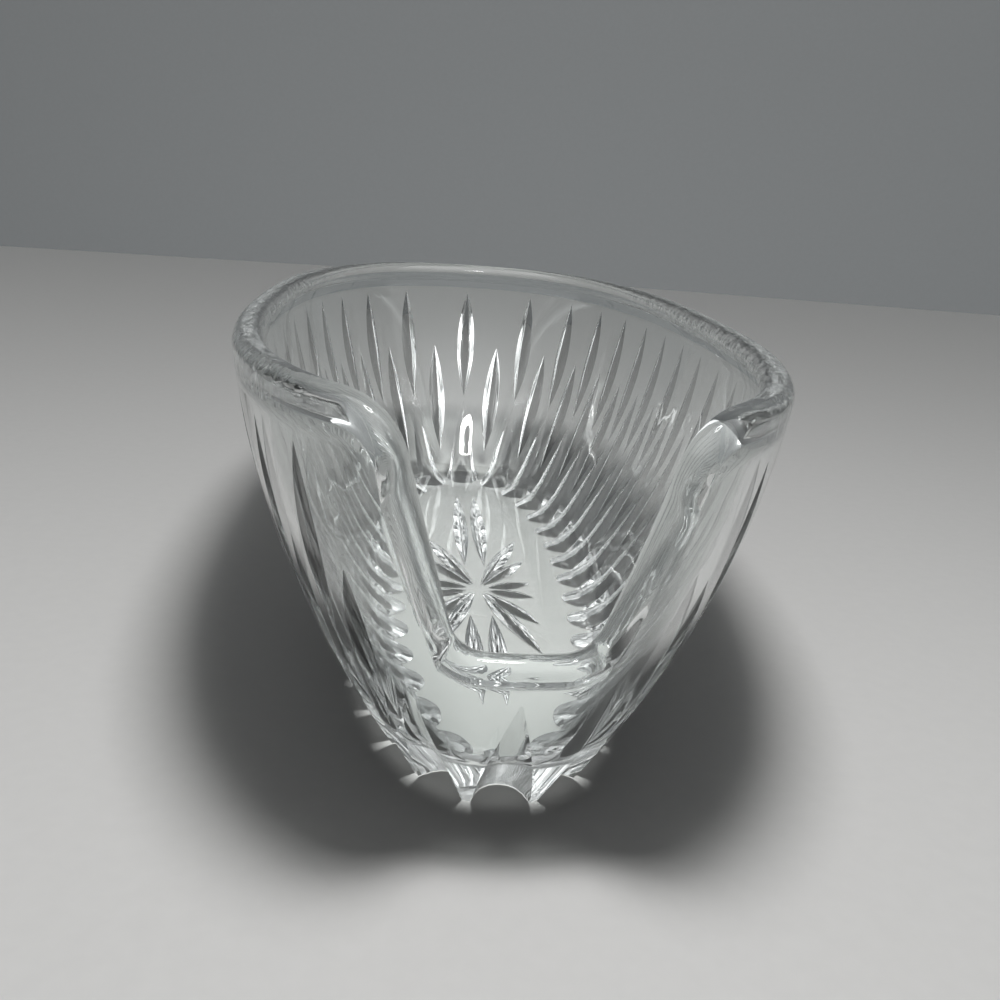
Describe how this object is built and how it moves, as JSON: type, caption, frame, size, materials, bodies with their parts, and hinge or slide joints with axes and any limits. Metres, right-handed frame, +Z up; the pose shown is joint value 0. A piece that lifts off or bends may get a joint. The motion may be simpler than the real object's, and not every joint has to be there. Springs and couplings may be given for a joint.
{
  "type": "silverware holder",
  "caption": "Oval cut-crystal tub for table silverware, with a deep U-shaped notch in one end, a fluted foot, olive cuts up the flared walls and a star cut in the base.",
  "frame": {"origin": "on the table, in the middle of the flat foot, on uncut glass between the petals of the star cut in the underside", "axes": "+Z up, +Y along the tub towards its closed end, so that the notched end faces -Y, +X across the tub"},
  "size_m": [0.114, 0.2367, 0.08],
  "materials": {
    "crystal": "clear, polished, cut lead crystal"
  },
  "bodies": {
    "root": {"crystal_body": "crystal"}
  },
  "joints": []
}
